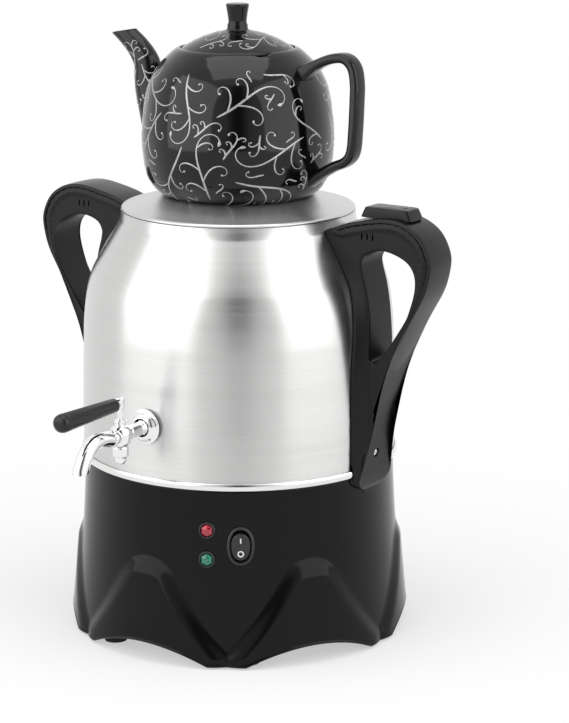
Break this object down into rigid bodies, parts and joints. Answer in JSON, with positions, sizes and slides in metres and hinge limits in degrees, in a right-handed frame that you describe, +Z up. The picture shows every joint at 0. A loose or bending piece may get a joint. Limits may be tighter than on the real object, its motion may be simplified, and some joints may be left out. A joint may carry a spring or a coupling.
{
  "type": "electric samovar",
  "caption": "Electric samovar: steel water tank on a black scalloped base, lever tap, two loop handles, switch and lamps, with a glazed teapot standing on its lid",
  "frame": {"origin": "centre of the bounding box on the table's plane", "axes": "+Z up; the tap points to -Y and the handles lie along X; the catch is on the +X handle"},
  "size_m": [0.3298, 0.3292, 0.4428],
  "materials": {
    "gloss_black": "gloss",
    "soft_black": "satin",
    "steel": "brushed",
    "chrome": "polished",
    "brass": "machined",
    "rubber": "matte",
    "silicone": "matte",
    "glaze": null,
    "red_lens": "tinted",
    "green_lens": "tinted"
  },
  "bodies": {
    "samovar_body": {"housing": "gloss_black", "bottom_cover": "gloss_black", "trim_ring": "chrome", "tank": "steel", "heating_element": "steel", "element_nut_left": "brass", "element_nut_right": "brass", "thermostat": "soft_black", "dry_boil_cutout": "soft_black", "terminal_block": "silicone", "mains_inlet": "soft_black", "switch_frame": "gloss_black", "red_lamp_bezel": "gloss_black", "green_lamp_bezel": "gloss_black", "red_lamp_lens": "red_lens", "green_lamp_lens": "green_lens", "handle_left": "soft_black", "handle_right": "soft_black", "handle_cover_left": "soft_black", "handle_cover_right": "soft_black", "handle_nut_left": "steel", "handle_nut_right": "steel", "lower_handle_screw_left": "chrome", "lower_handle_screw_right": "chrome", "upper_handle_screw_left": "chrome", "upper_handle_screw_right": "chrome", "tap_body": "chrome", "tap_washer": "silicone", "tap_rosette": "chrome", "tap_lock_nut": "brass", "tap_spout": "chrome", "tap_bottom_nut": "chrome", "cover_screw_1": "steel", "cover_screw_2": "steel", "cover_screw_3": "steel", "foot_1": "rubber", "foot_2": "rubber", "foot_3": "rubber", "foot_4": "rubber", "foot_5": "rubber", "foot_6": "rubber"},
    "tap_spindle": {"tap_spindle": "chrome", "tap_grip": "soft_black"},
    "rocker": {"switch_rocker": "gloss_black"},
    "lock_slider": {"lid_lock_slider": "soft_black"},
    "tank_lid": {"lid": "steel", "lid_seal": "silicone"},
    "pot": {"teapot": "glaze"},
    "pot_lid": {"teapot_lid": "glaze"}
  },
  "joints": [
    {"name": "lid_lift", "type": "slide", "parent": "samovar_body", "child": "tank_lid", "axis": [0, 0, 1], "range_m": [0, 0.12]},
    {"name": "teapot_lift", "type": "slide", "parent": "tank_lid", "child": "pot", "axis": [0, 0, 1], "range_m": [0, 0.12]},
    {"name": "teapot_lid_lift", "type": "slide", "parent": "pot", "child": "pot_lid", "axis": [0, 0, 1], "range_m": [0, 0.05]},
    {"name": "tap_turn", "type": "hinge", "parent": "samovar_body", "child": "tap_spindle", "pos_m": [0, -0.09811, 0.1655], "axis": [0, 0, 1], "range_deg": [0, 90]},
    {"name": "rocker_tilt", "type": "hinge", "parent": "samovar_body", "child": "rocker", "pos_m": [0.06323, -0.04859, 0.08583], "axis": [0.8211, 0.5707, 0], "range_deg": [-16, 0]},
    {"name": "lock_slide", "type": "slide", "parent": "samovar_body", "child": "lock_slider", "axis": [1, 0, 0], "range_m": [0, 0.005]}
  ]
}
